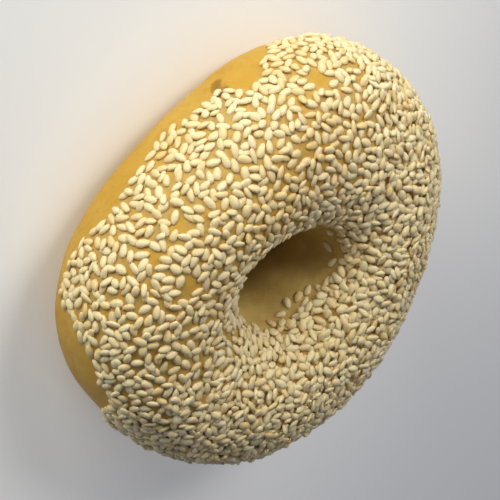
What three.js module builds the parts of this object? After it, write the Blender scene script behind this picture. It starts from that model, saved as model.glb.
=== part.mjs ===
// A bagel without its seeds: one ring of dough, rolled by hand, boiled and baked.
// It lies on its flat underside. The crown is round and the hole opens into a wide mouth.
// Millimetres, +Z up. The origin is the middle of the underside.
import * as THREE from "three";

// Driving sizes
const BAGEL_DIAMETER = 115; // mean of length and width
const BAGEL_HEIGHT = 40;
const HOLE_DIAMETER = 25; // where the hole is narrowest
const WIDEST_SHARE = 0.42; // height of the widest line, as a share of the bagel's height
const HOLE_SHIFT = new THREE.Vector2(0.4, -0.5); // the hole sits a little off the middle

// Fullness of the section's quarters: 2 is an ellipse, less is slacker, more is squarer
const OUTER_TOP_FULLNESS = 2.2;
const MOUTH_FULLNESS = 2.3;
const OUTER_FOOT_FULLNESS = 2.5;
const HOLE_FOOT_FULLNESS = 3;
const BASE_PRESS = 1.1; // the base is drawn this much too deep, and the excess is pressed flat

// Unevenness of a ring shaped by hand. A wave has a number of lobes round the ring, a height
// as a share of the size that it changes, and the angle in radians of its first crest.
const OUTLINE_WAVES = [
  { lobes: 2, share: 0.078, crest: 0.03 },
  { lobes: 3, share: 0.042, crest: 1.21 },
  { lobes: 4, share: 0.006, crest: 0.39 },
  { lobes: 5, share: 0.007, crest: 0.29 },
];
const HOLE_WAVES = [
  { lobes: 2, share: 0.18, crest: -0.5 },
  { lobes: 3, share: 0.1, crest: 0.5 },
];
const CROWN_WAVES = [
  { lobes: 1, share: 0.02, crest: 1.2 },
  { lobes: 3, share: 0.012, crest: 0.5 },
];

// Fineness of the mesh
const RING_STEPS = 84;
const SECTION_STEPS = 38;

const FULL_TURN = 2 * Math.PI;

function uneven(angle, waves) {
  return waves.reduce(
    (size, { lobes, share, crest }) => size + share * Math.cos(lobes * (angle - crest)),
    1,
  );
}

// One point of the even section: across runs from -1 at the hole to 1 at the outer wall,
// and up runs from 0 at the base to 1 at the crown.
function sectionPoint(turn) {
  const sideways = Math.cos(turn);
  const upwards = Math.sin(turn);
  const above = upwards >= 0;
  const outerFullness = above ? OUTER_TOP_FULLNESS : OUTER_FOOT_FULLNESS;
  const holeFullness = above ? MOUTH_FULLNESS : HOLE_FOOT_FULLNESS;
  const fullness = sideways >= 0 ? outerFullness : holeFullness;
  const across = Math.sign(sideways) * Math.abs(sideways) ** (2 / fullness);
  const bulge = Math.abs(upwards) ** (2 / fullness);
  const up = above
    ? WIDEST_SHARE + (1 - WIDEST_SHARE) * bulge
    : WIDEST_SHARE * (1 - Math.min(1, BASE_PRESS * bulge));
  return { across, up };
}

// The even ring, turned about the hole's axis with that axis upright.
function evenRing() {
  const middle = (BAGEL_DIAMETER + HOLE_DIAMETER) / 4;
  const halfWidth = (BAGEL_DIAMETER - HOLE_DIAMETER) / 4;
  const profile = [];
  for (let step = 0; step < SECTION_STEPS; step += 1) {
    const { across, up } = sectionPoint((FULL_TURN * step) / SECTION_STEPS);
    profile.push(new THREE.Vector2(middle + halfWidth * across, BAGEL_HEIGHT * up));
  }
  profile.push(profile[0].clone());
  return new THREE.LatheGeometry(profile, RING_STEPS).rotateX(Math.PI / 2);
}

// The hand-shaped ring: its outline, hole and crown vary round the even one.
function shapeByHand(ring) {
  const evenHole = HOLE_DIAMETER / 2;
  const evenOuter = BAGEL_DIAMETER / 2;
  const places = ring.getAttribute("position");
  const place = new THREE.Vector3();
  for (let index = 0; index < places.count; index += 1) {
    place.fromBufferAttribute(places, index);
    const angle = Math.atan2(place.y, place.x);
    const evenRadius = Math.hypot(place.x, place.y);
    const outwards = (evenRadius - evenHole) / (evenOuter - evenHole);
    const hole = evenHole * uneven(angle, HOLE_WAVES);
    const outer = evenOuter * uneven(angle, OUTLINE_WAVES);
    const radius = hole + (outer - hole) * outwards;
    const inwards = 1 - outwards;
    places.setXYZ(
      index,
      radius * Math.cos(angle) + HOLE_SHIFT.x * inwards,
      radius * Math.sin(angle) + HOLE_SHIFT.y * inwards,
      place.z * uneven(angle, CROWN_WAVES),
    );
  }
  return ring;
}

// Moves the ring so that the middle of its underside is the origin.
function standOnOrigin(ring) {
  ring.computeBoundingBox();
  const { min, max } = ring.boundingBox;
  return ring.translate(-(min.x + max.x) / 2, -(min.y + max.y) / 2, -min.z);
}

const crust = new THREE.MeshStandardMaterial({
  color: 0xcf9e50,
  roughness: 0.5,
  metalness: 0,
});

const bagel = new THREE.Mesh(standOnOrigin(shapeByHand(evenRing())), crust);
bagel.name = "bagel";
bagel.geometry.computeVertexNormals();

const part = new THREE.Group();
part.add(bagel);

export default part;
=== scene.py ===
import math

import bpy
import numpy as np
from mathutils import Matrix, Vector


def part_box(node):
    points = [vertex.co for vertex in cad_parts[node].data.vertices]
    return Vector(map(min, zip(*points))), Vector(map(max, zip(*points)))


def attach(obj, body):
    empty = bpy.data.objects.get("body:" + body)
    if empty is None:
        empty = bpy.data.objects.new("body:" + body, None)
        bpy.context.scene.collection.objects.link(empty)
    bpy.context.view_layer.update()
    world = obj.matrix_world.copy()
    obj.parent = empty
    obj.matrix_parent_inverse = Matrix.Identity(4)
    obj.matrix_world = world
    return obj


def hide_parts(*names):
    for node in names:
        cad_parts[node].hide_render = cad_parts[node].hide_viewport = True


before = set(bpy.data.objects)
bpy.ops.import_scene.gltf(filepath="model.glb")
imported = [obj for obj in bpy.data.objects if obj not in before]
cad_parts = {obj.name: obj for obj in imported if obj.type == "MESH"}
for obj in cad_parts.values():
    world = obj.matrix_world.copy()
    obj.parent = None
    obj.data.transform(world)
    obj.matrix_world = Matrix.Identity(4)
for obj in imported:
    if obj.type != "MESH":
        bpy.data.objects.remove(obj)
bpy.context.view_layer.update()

# ---- Crust ------------------------------------------------------------------------------
# The skin of one hand-rolled ring of dough. Boiling sets it tight and smooth, and the oven
# browns it golden. It is paler and matt underneath, where it lay on the baking board.

MM = 0.001
HOLE_MIDDLE = Vector((2.0 * MM, -2.2 * MM, 0))
DOUGH_LUMPS = [(16 * MM, 0.9 * MM), (5 * MM, 0.25 * MM)]  # size and height of the dough's unevenness

# Creases of the outside: azimuth in degrees, height, half length, half width, depth, lean in degrees
CREASES = [
    (-121.5, 14.0 * MM, 2.9 * MM, 1.1 * MM, 1.3 * MM, 50),
    (-120.5, 17.9 * MM, 2.3 * MM, 0.9 * MM, 1.1 * MM, 15),
    (-133.0, 17.5 * MM, 2.6 * MM, 0.5 * MM, 0.2 * MM, 10),
    (-95.0, 6.0 * MM, 7.0 * MM, 0.6 * MM, 0.22 * MM, 3),
    (-30.0, 7.5 * MM, 6.0 * MM, 0.6 * MM, 0.25 * MM, -7),
    (62.0, 9.0 * MM, 8.0 * MM, 0.6 * MM, 0.3 * MM, 6),
    (128.0, 7.0 * MM, 6.0 * MM, 0.6 * MM, 0.25 * MM, -3),
]
OUTSIDE_FROM = 30 * MM  # a crease stays further than this from the axis
LIP_HEIGHT = 0.45  # the dough swells beside a crease, by this share of its depth
LIP_WIDTH = 3  # and over this many times its width
# Inside the creases the crust's colour is darkened with painted shade
CREASE_FULL_SHADE_DEPTH = 0.6 * MM  # a crease as deep as this is fully dark

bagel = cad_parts["bagel"]
bagel_low, bagel_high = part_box("bagel")
bagel_height = bagel_high.z - bagel_low.z

crust = bpy.data.objects.new("crust", bagel.data.copy())
bpy.context.collection.objects.link(crust)
bpy.ops.object.select_all(action="DESELECT")
crust.select_set(True)
bpy.context.view_layer.objects.active = crust

bpy.ops.object.mode_set(mode="EDIT")
bpy.ops.mesh.select_all(action="SELECT")
bpy.ops.mesh.remove_doubles(threshold=0.01 * MM)
bpy.ops.mesh.tris_convert_to_quads(face_threshold=math.radians(40), shape_threshold=math.radians(60))
bpy.ops.object.mode_set(mode="OBJECT")


def apply_modifier(piece, kind, **settings):
    """Adds one modifier to the active piece and applies it."""
    modifier = piece.modifiers.new(kind.title(), kind)
    for name, value in settings.items():
        setattr(modifier, name, value)
    bpy.ops.object.modifier_apply(modifier=modifier.name)


apply_modifier(crust, "SUBSURF", levels=2, render_levels=2)

for size, strength in DOUGH_LUMPS:
    lumps = bpy.data.textures.new("dough_lumps", "CLOUDS")
    lumps.noise_scale = size
    lumps.noise_depth = 1
    apply_modifier(crust, "DISPLACE", texture=lumps, texture_coords="LOCAL", strength=strength, mid_level=0.5)


def vertex_vectors(mesh, kind):
    """The place ("co") or the normal ("normal") of each vertex, one to a row."""
    vectors = np.empty(len(mesh.vertices) * 3)
    mesh.vertices.foreach_get(kind, vectors)
    return vectors.reshape(-1, 3)


points = vertex_vectors(crust.data, "co")
normals = vertex_vectors(crust.data, "normal")
azimuths = np.degrees(np.arctan2(points[:, 1], points[:, 0]))
radii = np.hypot(points[:, 0], points[:, 1])
crease_shade = np.zeros(len(points))
for azimuth, height, half_length, half_width, depth, lean in CREASES:
    along = np.radians((azimuths - azimuth + 180) % 360 - 180) * radii
    rise = points[:, 2] - height
    lean_cosine = math.cos(math.radians(lean))
    lean_sine = math.sin(math.radians(lean))
    lengthwise = along * lean_cosine + rise * lean_sine
    crosswise = rise * lean_cosine - along * lean_sine
    stretch = np.exp(-((lengthwise / half_length) ** 4)) * (radii > OUTSIDE_FROM)
    groove = np.exp(-((crosswise / half_width) ** 2)) * stretch
    lips = np.exp(-((crosswise / (LIP_WIDTH * half_width)) ** 2)) * stretch
    points += normals * ((LIP_HEIGHT * lips - groove) * depth)[:, None]
    # Painted shade for the crust's colour, stronger the deeper the crease
    crease_shade += groove * depth / CREASE_FULL_SHADE_DEPTH

# The seeds are piled up on one side. There the outside lies further in, to leave room for them.
PILED_SIDE = math.radians(90)
PILED_BETWEEN = (-0.5, 0.1)  # cosines of the angle from that side: no pile at -0.5, the whole at 0.1
TAKEN_IN = 1.5 * MM
OUTWARDS_BETWEEN = (0, 0.5)  # outward shares of the normal: nothing is taken in at 0, the whole at 0.5


def soft_step(values, low, high):
    """0 where a value is below low, 1 where it is above high, and smooth between."""
    share = np.clip((values - low) / (high - low), 0, 1)
    return share * share * (3 - 2 * share)


def piled(places, unevenness=0):
    """0 where the seeds lie in one layer, 1 on the side where they are piled up."""
    sideways = np.cos(np.arctan2(places[:, 1], places[:, 0]) - PILED_SIDE)
    return soft_step(sideways + unevenness, *PILED_BETWEEN)


outwards = (points[:, :2] * normals[:, :2]).sum(1) / radii
taken_in = TAKEN_IN * piled(points) * soft_step(outwards, *OUTWARDS_BETWEEN)
points -= normals * taken_in[:, None]
points[:, 2] = np.maximum(points[:, 2], 0)
crust.data.vertices.foreach_set("co", points.ravel())
crust.data.update()
bpy.ops.object.shade_smooth()

# How far down the seeds reach on the outside: azimuth in degrees and height in mm
SEED_LINE = [
    (-160, 11), (-142, 11), (-131, 21), (-126, 23), (-120, 17), (-105, 14),
    (-92, 15), (-80, 18), (-72, 14), (-54, 11), (-47, 20), (-42, 25),
    (-27, 27), (-19, 20), (-10, 13), (60, 11), (120, 13), (180, 12),
]
HOLE_LINE = 30.8 * MM  # how far down the hole they reach, on average
HOLE_LINE_RISE = 1.6 * MM  # the line is higher by this on one side of the hole, and lower on the other
HOLE_LINE_CREST = math.radians(220)
LINE_WANDER = 0.6 * MM  # both lines wander up and down by about this
LINE_WANDER_SIZE = 14 * MM
OUTSIDE_FRINGE = 1.5 * MM  # how far below the line there are single seeds
HOLE_FRINGE = 6.0 * MM
LINE_WIDTH = 1.5 * MM  # the cover is whole from this far above the line
FRINGE_THINNING = 3  # the power that makes the fringe thin

# Spots that no seed stuck to: azimuth in degrees, distance from the axis, height and size
BARE_SPOTS = [
    (-143, 54.8 * MM, 30.0 * MM, 2.9 * MM),
    (-83, 48.1 * MM, 33.6 * MM, 2.6 * MM),
    (-72, 50.9 * MM, 33.2 * MM, 2.5 * MM),
    (-67, 42.3 * MM, 39.0 * MM, 2.4 * MM),
]

# Patches browner than the rest, or paler where the strength, which comes last, is below 0
BROWNER_PATCHES = [
    (-118, 36 * MM, 39 * MM, 11 * MM, 0.35),
    (-138, 41 * MM, 38 * MM, 10 * MM, 0.3),
    (-102, 51 * MM, 17 * MM, 8 * MM, 0.35),
    (-137, 58 * MM, 25 * MM, 7 * MM, 0.35),
    (-97, 28 * MM, 38 * MM, 9 * MM, 0.25),
    (-121, 51 * MM, 29 * MM, 11 * MM, -0.35),
    (-66, 40 * MM, 38 * MM, 9 * MM, 0.15),
    (-42, 42 * MM, 38 * MM, 9 * MM, 0.2),
]


def patchiness(places, size, number, waves=24):
    """Smooth random ups and downs of about the given size, with a spread of 1. The number picks them."""
    waving = np.random.default_rng(number)
    directions = waving.normal(size=(waves, 3))
    directions *= 2 * math.pi / size / np.linalg.norm(directions, axis=1)[:, None]
    phases = waving.uniform(0, 2 * math.pi, waves)
    return np.cos(places @ directions.T + phases).sum(1) * math.sqrt(2 / waves)


def distances(places, azimuth, from_axis, height):
    """How far each place is from the point at an azimuth in degrees, off the axis, at a height."""
    turn = math.radians(azimuth)
    middle = (from_axis * math.cos(turn), from_axis * math.sin(turn), height)
    return np.linalg.norm(places - middle, axis=1)


def seeded(places, ups):
    """The chance that seeds stuck at each place: 0 below the line that the tray of seeds reached."""
    from_hole = places[:, :2] - np.array(HOLE_MIDDLE[:2])
    outside = (from_hole * ups[:, :2]).sum(1) > 0
    turns = np.arctan2(places[:, 1], places[:, 0])
    hole_turns = np.arctan2(from_hole[:, 1], from_hole[:, 0])
    line_azimuths, line_heights = np.array(SEED_LINE).T
    outside_line = np.interp(turns, np.radians(line_azimuths), line_heights, period=2 * math.pi) * MM
    hole_line = HOLE_LINE + HOLE_LINE_RISE * np.cos(hole_turns - HOLE_LINE_CREST)
    line = np.where(outside, outside_line, hole_line) + LINE_WANDER * patchiness(places, LINE_WANDER_SIZE, 1)
    fringe = np.where(outside, OUTSIDE_FRINGE, HOLE_FRINGE)
    share = soft_step(places[:, 2], line - fringe, line + LINE_WIDTH) ** FRINGE_THINNING
    for azimuth, from_axis, height, size in BARE_SPOTS:
        share *= 1 - np.exp(-((distances(places, azimuth, from_axis, height) / size) ** 4))
    return share


def browner(places):
    """How much browner than the rest each place is: below 0 where it is paler."""
    share = np.zeros(len(places))
    for azimuth, from_axis, height, size, strength in BROWNER_PATCHES:
        share += strength * np.exp(-((distances(places, azimuth, from_axis, height) / size) ** 2))
    return share


def add_attribute(mesh, name, values):
    """Gives each vertex of a mesh a number that its material can read."""
    attribute = mesh.attributes.new(name, "FLOAT", "POINT")
    attribute.data.foreach_set("value", values.astype(np.float32))


add_attribute(crust.data, "crease", crease_shade)
add_attribute(crust.data, "seeded", seeded(points, normals))
add_attribute(crust.data, "browner", browner(points))


class Value:
    """A socket of numbers. Arithmetic on it adds Math nodes."""

    def __init__(self, finish, socket):
        self.finish = finish
        self.socket = socket

    def math(self, operation, *inputs):
        return self.finish.add("ShaderNodeMath", {"operation": operation}, dict(enumerate(inputs)))

    def __add__(self, other):
        return self.math("ADD", self, other)

    def __sub__(self, other):
        return self.math("SUBTRACT", self, other)

    def __rsub__(self, other):
        return self.math("SUBTRACT", other, self)

    def __mul__(self, other):
        return self.math("MULTIPLY", self, other)

    __radd__ = __add__
    __rmul__ = __mul__

    def between(self, low, high):
        """0 where the value is below low, 1 where it is above high, and smooth between."""
        sockets = {"Value": self, "From Min": low, "From Max": high}
        return self.finish.add("ShaderNodeMapRange", {"interpolation_type": "SMOOTHSTEP"}, sockets)


class Finish:
    """A procedural material, built node by node round one Principled shader."""

    def __init__(self, name, **constants):
        self.material = bpy.data.materials.new(name)
        self.material.use_nodes = True
        self.nodes = self.material.node_tree.nodes
        self.links = self.material.node_tree.links
        self.shader = self.nodes["Principled BSDF"]
        self.set(**constants)

    def connect(self, value, socket):
        if isinstance(value, Value):
            self.links.new(value.socket, socket)
        else:
            socket.default_value = value

    def set(self, **sockets):
        """Gives sockets of the shader their numbers, colours or links."""
        for name, value in sockets.items():
            self.connect(value, self.shader.inputs[name.replace("_", " ")])

    def add(self, kind, settings, sockets, output=0):
        """A node of this kind: its settings first, then its sockets by name or by number."""
        node = self.nodes.new(kind)
        for name, value in settings.items():
            setattr(node, name, value)
        for socket, value in sockets.items():
            self.connect(value, node.inputs[socket])
        return Value(self, node.outputs[output])

    def place(self):
        return self.add("ShaderNodeTexCoord", {}, {}, output="Object")

    def attribute(self, name):
        return self.add("ShaderNodeAttribute", {"attribute_name": name}, {}, output="Fac")

    def vector(self, operation, *inputs, output="Vector"):
        return self.add("ShaderNodeVectorMath", {"operation": operation}, dict(enumerate(inputs)), output)

    def noise(self, grain, detail=2.0, rough=0.5):
        """Noise whose features are about grain metres across."""
        sockets = {"Vector": self.place(), "Scale": 1 / grain, "Detail": detail, "Roughness": rough}
        return self.add("ShaderNodeTexNoise", {}, sockets)

    def blend(self, share, colour, other):
        """colour where share is 0, other where it is 1. A Mix node's colours are sockets 6 and 7."""
        return self.add("ShaderNodeMix", {"data_type": "RGBA"}, {0: share, 6: colour, 7: other}, output=2)

    def bump(self, height, strength, depth):
        sockets = {"Strength": strength, "Distance": depth, "Height": height}
        return self.add("ShaderNodeBump", {}, sockets, output="Normal")


GOLD = (0.59, 0.335, 0.04, 1)
PALE_GOLD = (0.62, 0.375, 0.06, 1)
DEEP_GOLD = (0.47, 0.24, 0.03, 1)
# Inside the hole the crust is paler: partly a less-baked crust, partly painted light on its shaded wall
HOLE_CRUST_WITH_PAINTED_LIGHT = (0.64, 0.465, 0.15, 1)
DEEP_HOLE_CRUST_WITH_PAINTED_LIGHT = (0.56, 0.37, 0.10, 1)
UNDER_SEEDS = (0.54, 0.37, 0.12, 1)
GOLD_UNDER_SEEDS = (0.60, 0.37, 0.085, 1)
# The painted shade in the creases
CREASE_SHADE_COLOUR = (0.30, 0.15, 0.02, 1)
UNDERSIDE = (0.60, 0.41, 0.19, 1)
UNDERSIDE_TOASTED = (0.47, 0.28, 0.09, 1)
HOLE_WALL_BETWEEN = (16 * MM, 22 * MM)  # the hole's colour ends between these distances from its axis
BOARD_BETWEEN = (0.2 * MM, 2.2 * MM)  # the underside's finish ends between these heights

# How much of a colour shows at most, as a share
FRECKLED = 0.35
BLUSHED = 0.4
HOLE_BLUSHED = 0.6
UNDER_SEEDS_SHOWN = 0.85
CREASE_SHADE_SHOWN = 0.8

ROUGHNESS = 0.46  # where the skin is glossiest
MOTTLE_ROUGHNESS = 0.16  # this and the next are added
UNDERSIDE_ROUGHNESS = 0.25
PORE_RELIEF = 0.35  # next to the relief of the skin's unevenness

baked = Finish("baked_crust", Specular_IOR_Level=0.25)
mottle = baked.noise(grain=14 * MM, detail=3.0, rough=0.55)
freckle = baked.noise(grain=1.6 * MM)
blush = baked.noise(grain=5 * MM, detail=3.0, rough=0.6)
deepened = FRECKLED * freckle.between(0.5, 0.8) + BLUSHED * blush.between(0.5, 0.75)
colour = baked.blend(mottle.between(0.35, 0.68), PALE_GOLD, GOLD)
colour = baked.blend(deepened, colour, DEEP_GOLD)

# The hole's wall gets the paler colours, partly less-baked crust and partly painted light
from_hole_middle = baked.vector("SUBTRACT", baked.place(), HOLE_MIDDLE)
across = baked.vector("MULTIPLY", from_hole_middle, (1, 1, 0))
in_hole = 1 - baked.vector("LENGTH", across, output="Value").between(*HOLE_WALL_BETWEEN)
hole_crust_and_painted_light = baked.blend(HOLE_BLUSHED * blush.between(0.4, 0.7), HOLE_CRUST_WITH_PAINTED_LIGHT, DEEP_HOLE_CRUST_WITH_PAINTED_LIGHT)
colour = baked.blend(in_hole, colour, hole_crust_and_painted_light)

between_seeds = baked.blend(blush.between(0.44, 0.62), UNDER_SEEDS, GOLD_UNDER_SEEDS)
under_seeds = baked.attribute("seeded") * (UNDER_SEEDS_SHOWN - baked.attribute("browner"))
colour = baked.blend(under_seeds, colour, between_seeds)
# Painted shade darkens the creases
painted_crease_shade = CREASE_SHADE_SHOWN * baked.attribute("crease").between(0.15, 1.0)
colour = baked.blend(painted_crease_shade, colour, CREASE_SHADE_COLOUR)

above_board = baked.add("ShaderNodeSeparateXYZ", {}, {"Vector": baked.place()}, output="Z")
on_board = 1 - above_board.between(*BOARD_BETWEEN)
toasted = baked.noise(grain=9 * MM, detail=3.0, rough=0.55).between(0.35, 0.7)
colour = baked.blend(on_board, colour, baked.blend(toasted, UNDERSIDE, UNDERSIDE_TOASTED))

pores = baked.noise(grain=0.7 * MM, detail=3.0, rough=0.6)
skin = baked.noise(grain=3.5 * MM)
baked.set(
    Base_Color=colour,
    Roughness=ROUGHNESS + MOTTLE_ROUGHNESS * mottle + UNDERSIDE_ROUGHNESS * on_board,
    Normal=baked.bump(PORE_RELIEF * pores + skin, strength=0.8, depth=0.35 * MM),
)
crust.data.materials.clear()
crust.data.materials.append(baked.material)

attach(crust, "root")
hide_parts("bagel")

# ---- Seeds ------------------------------------------------------------------------------
# Hulled sesame seeds. The wet ring is pressed crown down into a tray of them after boiling,
# so they cover the crown and the sides down past the widest line, and stop inside the hole.

SEED_LENGTH = 3.6 * MM
SEED_WIDTH = 2.2 * MM
SEED_THICKNESS = 1.1 * MM
SEED_TAPER = -0.35  # towards its pointed end
SIZE_SPREAD = 0.08  # of a seed's length, width and thickness, as a share
MOST_SEEDS = 4160  # so that their mesh stays below 200,000 triangles

# One seed, as large as a cube from -1 to 1, with its pointed end towards +X. Its faces are
# sorted, because a new sphere lists them in another order each time.
bpy.ops.object.select_all(action="DESELECT")
bpy.ops.mesh.primitive_uv_sphere_add(segments=6, ring_count=5, radius=1, rotation=(0, math.pi / 2, 0))
seed = bpy.context.object
bpy.ops.object.transform_apply(location=False, rotation=True, scale=False)
apply_modifier(seed, "SIMPLE_DEFORM", deform_method="TAPER", deform_axis="X", factor=SEED_TAPER)
seed_points = vertex_vectors(seed.data, "co")
seed_points /= np.abs(seed_points).max(0)
seed_faces = sorted(list(face.vertices) for face in seed.data.polygons)
bpy.data.objects.remove(seed)

# The spots where a seed may fall: points spread evenly over the crust, by its area
SPOTS = 190000
chance = np.random.default_rng(7)

crust.data.calc_loop_triangles()
corners = np.empty(len(crust.data.loop_triangles) * 3, np.int32)
crust.data.loop_triangles.foreach_get("vertices", corners)
corners = corners.reshape(-1, 3)
normals = vertex_vectors(crust.data, "normal")
first_edges = points[corners[:, 1]] - points[corners[:, 0]]
second_edges = points[corners[:, 2]] - points[corners[:, 0]]
areas = np.linalg.norm(np.cross(first_edges, second_edges), axis=1)
picked = corners[chance.choice(len(corners), SPOTS, p=areas / areas.sum())]
weights = chance.dirichlet((1, 1, 1), SPOTS)[:, :, None]
spots = (points[picked] * weights).sum(1)
ups = (normals[picked] * weights).sum(1)
ups /= np.linalg.norm(ups, axis=1)[:, None]

# How much room the seeds of the first layer keep, from middle to middle
ROOM = 1.66 * MM
ROOM_WHERE_PILED = 0.25 * MM  # this and the next two are added
ROOM_WHERE_SPARSE = 1.0 * MM
ROOM_BELOW_LINE = 1.6 * MM
PILE_UNEVENNESS = 0.12
PILE_PATCH_SIZE = 12 * MM
SPARSE_PATCH_SIZE = 10 * MM
SPARSE_BETWEEN = (1.1, 2.4)  # the patchiness at which seeds get sparse, in spreads

cover = seeded(spots, ups)
thick = piled(spots, PILE_UNEVENNESS * patchiness(spots, PILE_PATCH_SIZE, 2))
sparse = soft_step(patchiness(spots, SPARSE_PATCH_SIZE, 3), *SPARSE_BETWEEN) * (1 - thick)
room = ROOM + ROOM_WHERE_PILED * thick + ROOM_WHERE_SPARSE * sparse + ROOM_BELOW_LINE * (1 - cover)

# Each seed lies on the crust or rests on its neighbours: of a few tilts it takes the one that
# lets it down furthest, as a dropped seed does. In the pile, many stand tilted. Angles are in radians.
PITCHES = (-0.4, -0.2, 0, 0.2, 0.4)
ROLLS = (-0.45, 0, 0.45)
SMALL_TILTS = [(pitch, roll) for pitch in PITCHES for roll in ROLLS]
STANDING_BETWEEN = (0.4, 0.9)  # the pitches of the seeds that stand, to one side or the other
STANDING_ROLL = 0.3
STANDING_SHARE = 0.35
LYING_HEIGHT = 0.9 * MM  # how high above the crust a seed's middle may come to rest, in the first layer
PILED_HEIGHT = 1.66 * MM  # and in the pile
SINK = 0.32 * MM  # how far it then sinks in
NEIGHBOURS_WITHIN = 4.2 * MM
PILED_FROM = 0.05  # seeds are piled only where thick and cover are above these
COVERED_FROM = 0.9

# A seed is tested for touching at these places on a ball of radius 1. They lie in rings, from
# its middle down to its lowest point: how far down each ring is, and how many places it has.
TOUCHING_RINGS = [(0.0, 8), (0.55, 8), (1.0, 4), (math.pi / 2, 1)]
TOUCHING = np.array([
    (math.cos(turn) * math.cos(dip), math.sin(turn) * math.cos(dip), -math.sin(dip))
    for dip, number in TOUCHING_RINGS
    for turn in np.arange(number) * 2 * math.pi / number
])


def tilted(up, heading, tilts):
    """The axes of a seed at each tilt, along its length, its width and its thickness."""
    side = np.cross(up, heading)
    side /= np.linalg.norm(side)
    ahead = np.cross(side, up)
    pitches, rolls = np.array(tilts).T[:, :, None]
    lengthwise = ahead * np.cos(pitches) + up * np.sin(pitches)
    above = up * np.cos(pitches) - ahead * np.sin(pitches)
    crosswise = side * np.cos(rolls) + above * np.sin(rolls)
    return np.stack((lengthwise, crosswise, np.cross(lengthwise, crosswise)), axis=1)


class Heap:
    """The seeds laid so far, each as an ellipsoid with a middle, three axes and half sizes."""

    def __init__(self, most):
        self.middles = np.zeros((most, 3))
        self.axes = np.zeros((most, 3, 3))
        self.halves = np.zeros((most, 3))
        self.count = 0

    def support(self, near, feet, up):
        """How far above each foot a line straight up leaves the last of the near seeds."""
        # Each seed is squeezed into a ball of radius 1, which the line leaves at a quadratic's larger root
        squeezed = self.axes[near] / self.halves[near][:, :, None]
        start = np.einsum("nij,tpnj->tpni", squeezed, feet[:, :, None] - self.middles[near])
        climb = squeezed @ up
        steep = (climb ** 2).sum(1)
        along = (start * climb).sum(3)
        inside = along ** 2 - steep * ((start ** 2).sum(3) - 1)
        exits = np.where(inside > 0, (np.sqrt(np.maximum(inside, 0)) - along) / steep, 0)
        return exits.max(2, initial=0)

    def lay(self, spot, up, heading, half, tilts, least_room, most_height):
        """Lays one seed, unless its neighbours are too near or it would lie too high."""
        apart = np.linalg.norm(self.middles[:self.count] - spot, axis=1)
        near = np.flatnonzero(apart < NEIGHBOURS_WITHIN)
        if (apart[near] < least_room).any():
            return
        axes = tilted(up, heading, tilts)
        touches = (TOUCHING * half) @ axes
        lows = touches @ up
        feet = spot + touches - lows[:, :, None] * up
        heights = (self.support(near, feet, up) - lows).max(1)
        best = np.argmin(heights)
        if heights[best] > most_height:
            return
        self.middles[self.count] = spot + up * (heights[best] - SINK)
        self.axes[self.count] = axes[best]
        self.halves[self.count] = half
        self.count += 1


headings = chance.normal(size=(SPOTS, 3))
luck = chance.uniform(size=SPOTS)
half_sizes = np.array([SEED_LENGTH, SEED_WIDTH, SEED_THICKNESS]) / 2
halves = half_sizes * chance.normal(1, SIZE_SPREAD, size=(SPOTS, 3))
steeps = chance.uniform(*STANDING_BETWEEN, size=SPOTS) * chance.choice((-1, 1), SPOTS)
standing = chance.uniform(size=SPOTS) < STANDING_SHARE * thick

stuck = np.flatnonzero(luck < cover)
first_layer, later = np.split(stuck, [len(stuck) // 2])
heap = Heap(MOST_SEEDS)
for index in first_layer:
    heap.lay(spots[index], ups[index], headings[index], halves[index], SMALL_TILTS, room[index], LYING_HEIGHT)
for index in later[(thick[later] > PILED_FROM) & (cover[later] > COVERED_FROM)]:
    if heap.count == MOST_SEEDS:
        break
    tilts = [(steeps[index], STANDING_ROLL)] if standing[index] else SMALL_TILTS
    most_height = LYING_HEIGHT + (PILED_HEIGHT - LYING_HEIGHT) * thick[index]
    heap.lay(spots[index], ups[index], headings[index], halves[index], tilts, 0, most_height)

# All the seeds as one mesh. Some are toasted browner, and so is each one's pointed end.
TOAST_CURVE = (1.3, 4.0)  # of a beta distribution: most seeds are pale

count = heap.count
middles = heap.middles[:count]
vertices = np.einsum("sva,sac->svc", seed_points[None] * heap.halves[:count, None, :], heap.axes[:count])
vertices += middles[:, None, :]
corners_each = len(seed_points)
faces = [
    [corner + corners_each * number for corner in face]
    for number in range(count)
    for face in seed_faces
]
seeds_mesh = bpy.data.meshes.new("seeds")
seeds_mesh.from_pydata(vertices.reshape(-1, 3).tolist(), [], faces)
toast = chance.beta(*TOAST_CURVE, count) + browner(middles)
add_attribute(seeds_mesh, "toast", np.repeat(toast, corners_each))
add_attribute(seeds_mesh, "tip", np.tile(seed_points[:, 0], count))
seeds = bpy.data.objects.new("seeds", seeds_mesh)
bpy.context.collection.objects.link(seeds)
bpy.ops.object.select_all(action="DESELECT")
seeds.select_set(True)
bpy.context.view_layer.objects.active = seeds
bpy.ops.object.shade_smooth()

IVORY = (0.94, 0.80, 0.50, 1)
TAN = (0.82, 0.60, 0.25, 1)
TIP_TOAST = 0.35
TIP_BETWEEN = (0.55, 1.0)  # from the middle of a seed, 0, to its pointed end, 1

hulled = Finish(
    "hulled_sesame",
    Specular_IOR_Level=0.4,
    Roughness=0.5,
    Subsurface_Weight=0.35,
    Subsurface_Radius=(1.0, 0.85, 0.55),
    Subsurface_Scale=0.6 * MM,
)
tip_toast = TIP_TOAST * hulled.attribute("tip").between(*TIP_BETWEEN)
hulled.set(
    Base_Color=hulled.blend(hulled.attribute("toast") + tip_toast, IVORY, TAN),
    Normal=hulled.bump(hulled.noise(grain=0.45 * MM, detail=1.0), strength=0.35, depth=0.1 * MM),
)
seeds.data.materials.append(hulled.material)

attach(seeds, "root")

# ---- Floor, light and camera --------------------------------------------------------------
# A pale floor that glows a little as painted light, except round the bagel, where the missing glow is a
# painted shadow under it. A soft light stands low at the near left, a weak one with a narrow beam lights the
# left side from above, and a cool pale room lights the rest.

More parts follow.
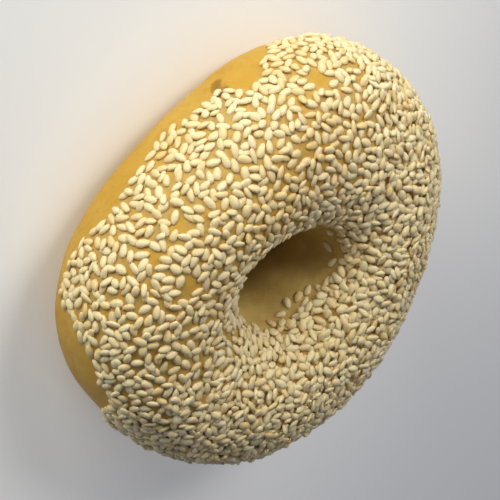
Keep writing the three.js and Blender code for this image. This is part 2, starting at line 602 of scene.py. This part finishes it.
FLOOR_SIZE = 6
FLOOR_COLOUR = (0.86, 0.86, 0.85, 1)
# The floor's glow is painted light. Where it fades out round the bagel it leaves a painted shadow
FLOOR_PAINTED_GLOW = 0.2
PAINTED_SHADOW_BETWEEN = (0.03, 0.07)  # the floor's glow starts between these distances from the origin
BLACK = (0, 0, 0, 1)
WHITE = (1, 1, 1, 1)

bpy.ops.mesh.primitive_plane_add(size=FLOOR_SIZE, location=(0, 0, 0))
floor = bpy.context.object
floor.name = "floor"
pale = Finish("pale_floor", Base_Color=FLOOR_COLOUR, Roughness=0.9, Emission_Strength=FLOOR_PAINTED_GLOW)
# No glow near the bagel: a painted shadow round it and under its hole
from_origin = pale.vector("LENGTH", pale.place(), output="Value")
pale.set(Emission_Color=pale.blend(from_origin.between(*PAINTED_SHADOW_BETWEEN), BLACK, WHITE))
floor.data.materials.append(pale.material)

LIGHT_SIZE = 0.2
LIGHT_DISTANCE = 0.45  # from the middle of the bagel
LIT_CROWN = Vector((-30 * MM, -25 * MM, 30 * MM))  # what the lights are aimed at
ROOM_COLOUR = (0.93, 1.0, 1.25, 1)
ROOM_STRENGTH = 0.122


def soft_light(name, azimuth, elevation, watts, colour, spread):
    """A square light aimed at the crown. Its place and the spread of its beam are in degrees."""
    turn = math.radians(azimuth)
    rise = math.radians(elevation)
    outward = Vector((math.sin(turn) * math.cos(rise), -math.cos(turn) * math.cos(rise), math.sin(rise)))
    data = bpy.data.lights.new(name, "AREA")
    data.size = LIGHT_SIZE
    data.energy = watts
    data.color = colour
    data.spread = math.radians(spread)
    light = bpy.data.objects.new(name, data)
    light.location = outward * LIGHT_DISTANCE + Vector((0, 0, bagel_height / 2))
    light.rotation_euler = (light.location - LIT_CROWN).to_track_quat("Z", "Y").to_euler()
    bpy.context.collection.objects.link(light)


soft_light("near", azimuth=-20, elevation=10, watts=1.25, colour=(1.0, 0.985, 0.83), spread=180)
soft_light("side", azimuth=-75, elevation=40, watts=0.1, colour=(1.0, 0.975, 0.93), spread=50)

world = bpy.data.worlds.new("soft_room")
world.use_nodes = True
room_light = world.node_tree.nodes["Background"].inputs
room_light["Color"].default_value = ROOM_COLOUR
room_light["Strength"].default_value = ROOM_STRENGTH
bpy.context.scene.world = world
bpy.context.scene.view_settings.view_transform = "Standard"

CAMERA_ELEVATION = math.radians(45)
CAMERA_ROLL = math.radians(-124.1)
CAMERA_DISTANCE = 0.33
CAMERA_SENSOR = 36
FRAME_WIDTH = 0.1372  # what the picture spans at the bagel
AIM_RIGHT = 1.3 * MM  # off the middle of the bagel, as seen before the camera is rolled
AIM_UP = -6.8 * MM

right = Vector((1, 0, 0))
back = Vector((0, -math.cos(CAMERA_ELEVATION), math.sin(CAMERA_ELEVATION)))
upwards = back.cross(right)
target = Vector((0, 0, bagel_height / 2)) + right * AIM_RIGHT + upwards * AIM_UP
camera_data = bpy.data.cameras.new("camera")
camera_data.sensor_width = CAMERA_SENSOR
camera_data.lens = CAMERA_SENSOR * CAMERA_DISTANCE / FRAME_WIDTH
camera = bpy.data.objects.new("camera", camera_data)
camera.location = target + back * CAMERA_DISTANCE
camera.rotation_euler = (math.pi / 2 - CAMERA_ELEVATION, 0, 0)
camera.rotation_euler.rotate_axis("Z", -CAMERA_ROLL)
bpy.context.collection.objects.link(camera)
bpy.context.scene.camera = camera
